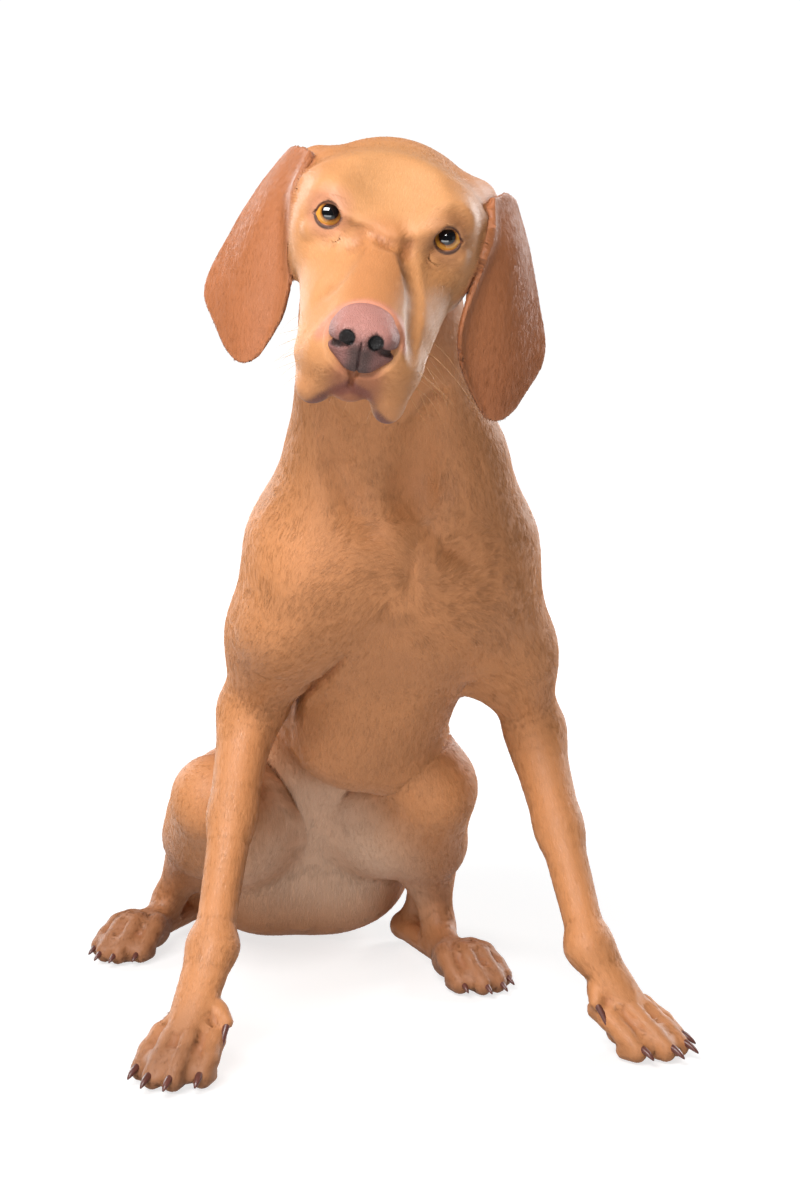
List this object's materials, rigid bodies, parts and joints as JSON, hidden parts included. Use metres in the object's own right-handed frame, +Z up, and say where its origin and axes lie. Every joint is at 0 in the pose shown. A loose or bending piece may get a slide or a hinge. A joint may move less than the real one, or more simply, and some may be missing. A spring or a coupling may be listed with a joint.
{
  "type": "dog",
  "caption": "Life-size still model of a smooth-coated pointing dog, sitting with its front legs spread and its head lowered and tilted.",
  "frame": {"origin": "centre of the bounding box's base, on the floor", "axes": "+Z up, the dog faces -Y, its left side is +X"},
  "size_m": [0.4886, 0.9564, 0.6895],
  "materials": {
    "coat": "short, flat russet gold hair over skin",
    "nose": "moist, pebbled nose leather",
    "eye": "clear, wet amber eye",
    "claw": "smooth dark horn"
  },
  "bodies": {
    "root": {"eye_left": "eye", "eye_right": "eye", "claw_fore_right_1": "claw", "claw_fore_right_2": "claw", "claw_fore_right_3": "claw", "claw_fore_right_4": "claw", "claw_fore_right_dew": "claw", "claw_fore_left_1": "claw", "claw_fore_left_2": "claw", "claw_fore_left_3": "claw", "claw_fore_left_4": "claw", "claw_fore_left_dew": "claw", "claw_hind_right_1": "claw", "claw_hind_right_2": "claw", "claw_hind_right_3": "claw", "claw_hind_right_4": "claw", "claw_hind_left_1": "claw", "claw_hind_left_2": "claw", "claw_hind_left_3": "claw", "claw_hind_left_4": "claw", "forepaw_right": "coat", "forearm_right": "coat", "upper_arm_right": "coat", "forepaw_left": "coat", "forearm_left": "coat", "upper_arm_left": "coat", "hind_foot_right": "coat", "shin_right": "coat", "thigh_right": "coat", "hind_foot_left": "coat", "shin_left": "coat", "thigh_left": "coat", "tail": "coat", "lower_jaw": "coat", "nose": "nose", "head": "coat", "neck": "coat", "abdomen": "coat", "chest": "coat", "ear_right": "coat", "ear_left": "coat"}
  },
  "joints": []
}
